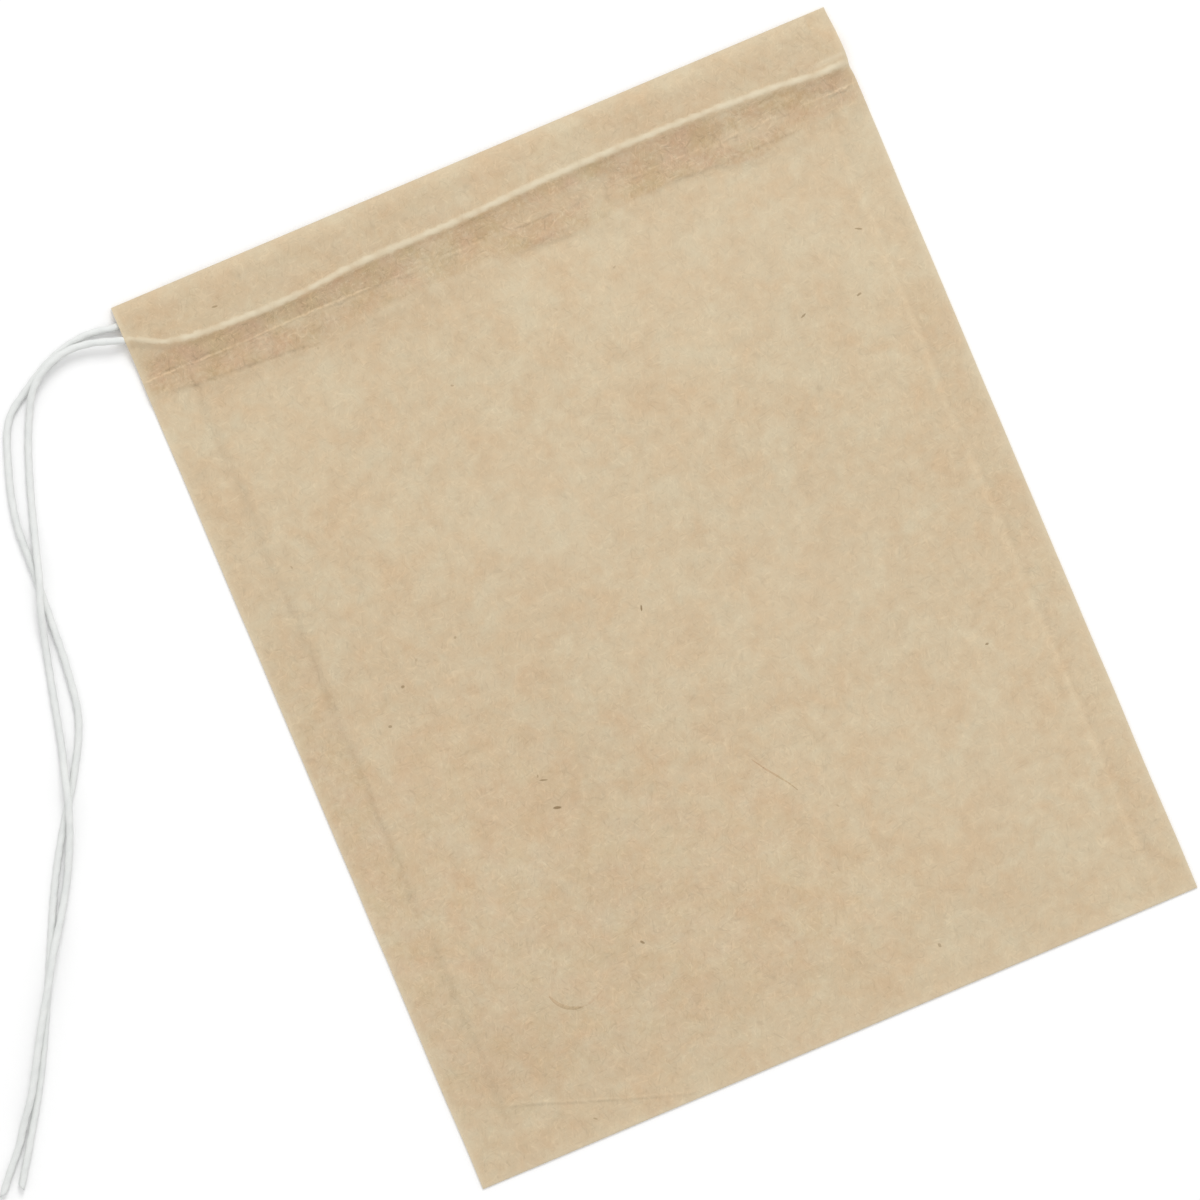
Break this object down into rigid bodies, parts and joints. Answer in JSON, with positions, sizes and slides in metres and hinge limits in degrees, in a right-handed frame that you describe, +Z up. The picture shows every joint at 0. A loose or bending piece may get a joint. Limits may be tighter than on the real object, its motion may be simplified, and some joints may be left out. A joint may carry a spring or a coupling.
{
  "type": "drawstring tea filter bag",
  "caption": "Empty flat tea bag of folded unbleached filter paper, with a cotton drawstring through the hem along its open mouth and two loose tails.",
  "frame": {"origin": "under the middle of the bag, on the surface that it lies on; the string's tails aren't counted", "axes": "+X across the bag to the side where the string turns, +Y up the bag to its mouth, +Z up from the surface"},
  "size_m": [0.127, 0.0992, 0.0018],
  "materials": {
    "filter_paper": "matte",
    "cotton": "matte"
  },
  "bodies": {
    "root": {"filter_paper_bag": "filter_paper", "drawstring": "cotton"}
  },
  "joints": []
}
